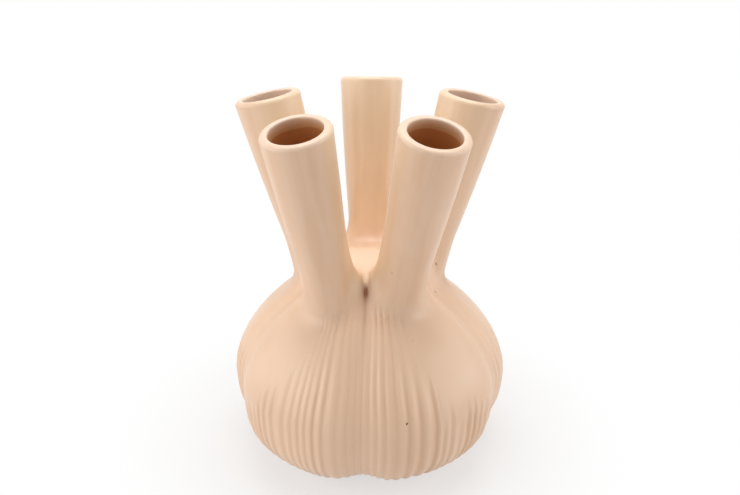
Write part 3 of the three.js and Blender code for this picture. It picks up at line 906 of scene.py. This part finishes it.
class VASE_OT_bulb(bpy.types.Operator):
    """Model the lobed and ribbed bulb with its five collars"""

    bl_idname = "vase.bulb"
    bl_label = "Bulb"

    def execute(self, context):
        shape = context.scene.vase_shape
        form = Form(shape)
        skin = BulbSkin(form, 0, columns=9, rows=42, line_steps=40, patch_rows=42, crowding=1.6)
        mesh = skin.mesh("bulb")
        points = np.concatenate(skin.points)
        normals = np.empty(len(points) * 3)
        mesh.vertices.foreach_get("normal", normals)
        ribs = Ribs(shape).relief(points)
        fold = Fold(shape, points)
        points -= normals.reshape(-1, 3) * (ribs + fold.relief())[:, None]
        mesh.vertices.foreach_set("co", points.ravel())
        give(mesh, "pooled", 0.4 * ribs / shape.rib_height)
        # Painted shade and pooled glaze in the fold and its pit
        give(mesh, "stain_and_shade", fold.stain_and_shade())
        self.tint_and_paint_light(form, points, mesh)
        bulb = add_object("garlic_bulb", mesh)
        inner = BulbSkin(form, -shape.wall, columns=1, rows=16, line_steps=10, patch_rows=8)
        cut(bulb, add_object("hollow", inner.mesh("hollow")))
        for index in range(LOBES):
            cut(bulb, self.rebate(form, index))
        below, inside = -1 * MM, 10 * MM
        cut(bulb, upright_cylinder(shape.base_radius + JOINT_GAP, below, BASE_FLANGE + JOINT_GAP))
        cut(bulb, upright_cylinder(shape.base_radius - BASE_LEDGE + JOINT_GAP, below, inside))
        finish_piece(bulb, ["bulb"], material("Satin glaze", glaze_material))
        return {"FINISHED"}

    def tint_and_paint_light(self, form, points, mesh):
        """Marks the painted light between the necks, the painted highlight on the crown and the shoulder's
        streaks.
        """
        nearest, local = form.by_nearest_neck(points)
        _, radius, height = polar(points)
        backward = points[:, 1]
        crown = radius < 30 * MM
        back_foot = crown * smooth(backward, 5 * MM, 14 * MM) * smooth(backward, 30 * MM, 20 * MM)
        # Painted light between the necks near the crown, but not at the back neck's foot
        give(mesh, "painted_light", painted_light_share(local) * smooth(height, 122 * MM, 138 * MM) * (1 - back_foot))
        # Painted highlight on the crown floor, which faces up between the necks
        give(mesh, "painted_highlight", 0.9 * crown * smooth(backward, 14 * MM, 6 * MM))
        give(mesh, "flow", flow(local, nearest))
        give(mesh, "streaky", smooth(height, 112 * MM, 135 * MM))

    def rebate(self, form, index):
        """Cutter for the seat of a neck's spigot in its collar."""
        inside = form.neck_outside(COLLAR_DROP) - form.shape.neck_wall
        top = 1 * MM - COLLAR_DROP
        floor = -COLLAR_DROP - SPIGOT_LENGTH - JOINT_GAP
        cutter = upright_cylinder(inside + SPIGOT_WALL + JOINT_GAP, floor, top, vertices=96)
        cutter.data.transform(form.necks[index])
        return cutter


class VASE_OT_necks(bpy.types.Operator):
    """Model the five necks, each with a rounded lip, a bore and a spigot"""

    bl_idname = "vase.necks"
    bl_label = "Necks"
    outer_rounding = 2.8 * MM
    inner_rounding = 1.2 * MM
    # Drops below the rim, in millimetres, of the close rows in and under the lip
    lip_rows = (2.2, 3.2, 4.2, 5.2, 5.9, 6.3, 6.7, 7)
    rows_under_lip = (7.6, 8, 8.4, 8.8)
    tilt_reach = 40 * MM
    foot_from = 25 * MM

    def execute(self, context):
        form = Form(context.scene.vase_shape)
        for index, (name, _, _, tilt, _) in enumerate(NECKS):
            neck = self.tube(form, name)
            self.run_into_bulb(form, index, neck.data)
            self.tint_and_paint_light(form, index, neck.data)
            self.tilt_rim(neck.data, math.radians(tilt))
            neck.data.transform(form.necks[index])
            finish_piece(neck, [name], material("Satin glaze", glaze_material))
        return {"FINISHED"}

    def outline(self, form):
        """Radii and drops below the rim, up the outside, over the lip, down the bore and round the spigot."""
        shape = form.shape
        outer, inner = self.outer_rounding, self.inner_rounding
        inner_edge = shape.rim_radius - shape.lip_thickness
        end = COLLAR_DROP + SPIGOT_LENGTH
        stations = [(form.neck_outside(drop), drop) for drop in np.linspace(COLLAR_DROP, outer, 44)[:-1]]
        for turn in np.linspace(0, math.pi / 2, 9):
            stations.append((shape.rim_radius - outer * (1 - math.cos(turn)), outer * (1 - math.sin(turn))))
        for turn in np.linspace(0, math.pi / 2, 6):
            stations.append((inner_edge + inner * (1 - math.sin(turn)), inner * (1 - math.cos(turn))))
        stations += [(inner_edge, row * MM) for row in self.lip_rows]
        bore_drops = [row * MM for row in self.rows_under_lip] + list(np.linspace(10 * MM, end, 22))
        stations += [(form.neck_outside(drop) - shape.neck_wall, drop) for drop in bore_drops]
        seat = form.neck_outside(COLLAR_DROP) - shape.neck_wall + SPIGOT_WALL
        return stations + [(seat, end), (seat, COLLAR_DROP)]

    def tube(self, form, name):
        """Turns the outline into a closed tube: a circle is extruded and resized station by station."""
        (radius, drop), *others = self.outline(form)
        bpy.ops.object.select_all(action="DESELECT")
        bpy.ops.mesh.primitive_circle_add(vertices=ROUND_SIDES, radius=radius, location=(0, 0, -drop))
        neck = bpy.context.object
        neck.name = "flower_" + name
        neck.data.name = neck.name
        apply_place(neck)
        mode("EDIT")
        select(True)
        for next_radius, next_drop in others:
            raise_by(drop - next_drop)
            grow = next_radius / radius
            bpy.ops.transform.resize(value=(grow, grow, 1), center_override=(0, 0, -next_drop))
            radius, drop = next_radius, next_drop
        select(False)
        bpy.ops.mesh.select_non_manifold()
        bpy.ops.mesh.bridge_edge_loops()
        select(True)
        bpy.ops.mesh.normals_make_consistent(inside=False)
        mode("OBJECT")
        return neck

    def tint_and_paint_light(self, form, index, mesh):
        """Marks the painted highlight on the lip, the painted light on the side facing the other necks, the
        painted shade that darkens the upper bore downwards, and the dark inside of the bore, deeper in side
        necks, where the painted light runs further down the bore.
        """
        points = places(mesh)
        angle, radius, height = polar(points)
        drop = -height
        bore = radius < form.neck_outside(drop) - 3 * MM
        # Side necks: painted light down the bore, weaker painted shade and a dark inside starting deeper; other
        # necks: painted highlight on the lip, stronger inside it
        if index in SIDE_NECKS:
            painted_highlight = bore * smooth(drop, 14 * MM, 5 * MM)
            lip_shade, deeper = 0.15, 10 * MM
        else:
            painted_highlight = (0.5 + 0.5 * bore) * smooth(drop, 4 * MM, 0)
            lip_shade, deeper = 1, 0
        wave = 0.35 * MM * np.sin(2 * angle + index) + 0.2 * MM * np.sin(5 * angle + 2 * index)
        edge = drop - deeper + wave
        give(mesh, "painted_highlight", painted_highlight)
        # Painted light on the side of the neck that faces the other necks
        give(mesh, "painted_light", painted_light_share(points) * (1 - bore))
        # Painted shade darkening the upper bore towards its dark inside
        give(mesh, "lip_shade", lip_shade * bore * smooth(edge, 1 * MM, 6.5 * MM))
        give(mesh, "inside", bore * smooth(edge, 6.8 * MM, 7.6 * MM))
        give(mesh, "flow", flow(points, index))
        give(mesh, "streaky", 1.0 - bore)

    def tilt_rim(self, mesh, angle):
        """Tilts the rim a little nearer to level, and the tube below it less and less."""
        for vertex in mesh.vertices:
            fade = 1 - smooth(-vertex.co.z, 0, self.tilt_reach)
            vertex.co.z += math.tan(angle) * vertex.co.x * fade

    def run_into_bulb(self, form, index, neck):
        """Swells the foot of the neck's outside to where it runs into the bulb and its neighbours."""
        points = places(neck)
        angles, radius, height = polar(points)
        drop = -height
        foot = (radius > form.neck_outside(drop) - 0.1 * MM) & (drop > self.foot_from)
        angles = angles[foot]
        wide = form.neck_radius(index, angles, drop[foot])
        points[foot, 0] = wide * np.cos(angles)
        points[foot, 1] = wide * np.sin(angles)
        neck.vertices.foreach_set("co", points.ravel())
        neck.update()


class VASE_OT_base(bpy.types.Operator):
    """Model the rebated disc that closes the bottom"""

    bl_idname = "vase.base"
    bl_label = "Base"

    def execute(self, context):
        bpy.ops.object.select_all(action="DESELECT")
        base = upright_cylinder(context.scene.vase_shape.base_radius, 0, BASE_FLANGE)
        base.name = "base_disc"
        base.data.name = base.name
        mode("EDIT")
        select(False)
        mode("OBJECT")
        for face in base.data.polygons:
            face.select = face.normal.z > 0.9
        mode("EDIT")
        bpy.ops.mesh.select_mode(type="FACE")
        bpy.ops.mesh.inset(thickness=BASE_LEDGE)
        raise_by(BASE_PLUG)
        select(False)
        mode("OBJECT")
        for edge in base.data.edges:
            ends = [base.data.vertices[index].co.z for index in edge.vertices]
            edge.select = max(ends) < 0.1 * MM
        mode("EDIT")
        bpy.ops.mesh.select_mode(type="EDGE")
        bpy.ops.mesh.bevel(offset=1 * MM, segments=4)
        mode("OBJECT")
        finish_piece(base, ["base"], material("Bare fired clay", clay_material))
        return {"FINISHED"}


class VASE_OT_stage(bpy.types.Operator):
    """Add the floor, the lights, the white surround and the camera"""

    bl_idname = "vase.stage"
    bl_label = "Stage"

    # Each lamp's name, place in metres and power in watts
    lamps = (
        ("left", (-0.95, -0.1, 0.35), 2.7),
        ("left_front", (-0.8, -0.55, 0.35), 2.1),
        ("right", (0.95, -0.1, 0.35), 3.4),
        ("top", (0, 0.15, 1.1), 7.0),
    )
    lamp_size = 0.8
    lamp_target = (0, 0, 0.1)
    floor_size = 12
    # Lens and sensor in millimetres, place in metres, angles in radians, and a turn round the vase
    lens = 42.45
    sensor = 36
    camera_place = (0, -0.541, 0.3862)
    camera_yaw, camera_down, camera_roll = -0.0018, 0.4188, 0.0039
    camera_turn = math.radians(1.49)

    def execute(self, context):
        scene = context.scene
        stage = scene.vase_stage
        bpy.ops.object.select_all(action="DESELECT")
        bpy.ops.mesh.primitive_plane_add(size=self.floor_size)
        floor = context.object
        floor.name = "floor"
        floor.data.materials.append(self.floor_material(stage))
        self.surround(scene, stage)
        for name, place, power in self.lamps:
            self.lamp(name, place, power)
        self.camera(scene)
        scene.view_settings.view_transform = "Standard"
        return {"FINISHED"}

    def floor_material(self, stage):
        """A pale floor that keeps the shadow near the vase and is seen as plain white farther off."""
        graph = Graph(bpy.data.materials.new("Pale floor"))
        near = graph.surface({"Base Color": (*stage.floor, 1), "Roughness": 0.9})
        away = graph.vector_maths("LENGTH", graph.coordinates(), output="Value")
        white = graph.node("ShaderNodeEmission", {}, {"Color": (1, 1, 1, 1)})
        whiteness = 0.6 + graph.stretch(away, low=0.1, high=0.2) * 0.4
        share = graph.shows_background() * whiteness
        mixed = graph.node("ShaderNodeMixShader", {}, {0: share, 1: near, 2: white})
        graph.fill(graph.tree.nodes["Material Output"], {"Surface": mixed})
        return graph.owner

    def surround(self, scene, stage):
        """An even light from all round, which the camera sees as plain white."""
        scene.world = bpy.data.worlds.new("White surround")
        graph = Graph(scene.world)
        shown = graph.shows_background()
        strength = graph.node("ShaderNodeMapRange", {}, {"Value": shown, "To Min": stage.sky})
        graph.fill(graph.tree.nodes["Background"], {"Color": (1, 1, 1, 1), "Strength": strength})

    def lamp(self, name, place, power):
        light = bpy.data.lights.new(name, "AREA")
        light.size = self.lamp_size
        light.energy = power
        lamp = add_object(name, light)
        lamp.location = place
        aim = Vector(self.lamp_target) - Vector(place)
        lamp.rotation_euler = aim.to_track_quat("-Z", "Y").to_euler()

    def camera(self, scene):
        """Places the camera where the photograph was taken from, as the rims and the bulb's outline show."""
        data = bpy.data.cameras.new("camera")
        data.sensor_width = self.sensor
        data.lens = self.lens
        camera = add_object("camera", data)
        round_vase = Matrix.Rotation(self.camera_turn, 4, "Z")
        place = Matrix.Translation(self.camera_place)
        yaw = Matrix.Rotation(self.camera_yaw, 4, "Z")
        pitch = Matrix.Rotation(math.pi / 2 - self.camera_down, 4, "X")
        roll = Matrix.Rotation(self.camera_roll, 4, "Z")
        camera.matrix_world = round_vase @ place @ yaw @ pitch @ roll
        scene.camera = camera


class VASE_PT_panel(bpy.types.Panel):
    """Steps that make the vase, and its sizes and colours"""

    bl_idname = "VASE_PT_panel"
    bl_label = "Vase"
    bl_space_type = "VIEW_3D"
    bl_region_type = "UI"
    bl_category = "Vase"

    def draw(self, context):
        layout = self.layout
        for operator in OPERATORS:
            layout.operator(operator.bl_idname)
        for group_name in GROUPS:
            group = getattr(context.scene, group_name)
            box = layout.box()
            for name in group.__annotations__:
                box.prop(group, name)


OPERATORS = (VASE_OT_bulb, VASE_OT_necks, VASE_OT_base, VASE_OT_stage)
GROUPS = {"vase_shape": VaseShape, "vase_finish": VaseFinish, "vase_stage": VaseStage}
CLASSES = (*GROUPS.values(), *OPERATORS, VASE_PT_panel)


def register():
    for cls in CLASSES:
        bpy.utils.register_class(cls)
    for name, group in GROUPS.items():
        setattr(bpy.types.Scene, name, bpy.props.PointerProperty(type=group))


def unregister():
    for name in GROUPS:
        delattr(bpy.types.Scene, name)
    for cls in reversed(CLASSES):
        bpy.utils.unregister_class(cls)


def main():
    register()
    bpy.ops.vase.bulb()
    bpy.ops.vase.necks()
    bpy.ops.vase.base()
    bpy.ops.vase.stage()


if __name__ == "__main__":
    main()
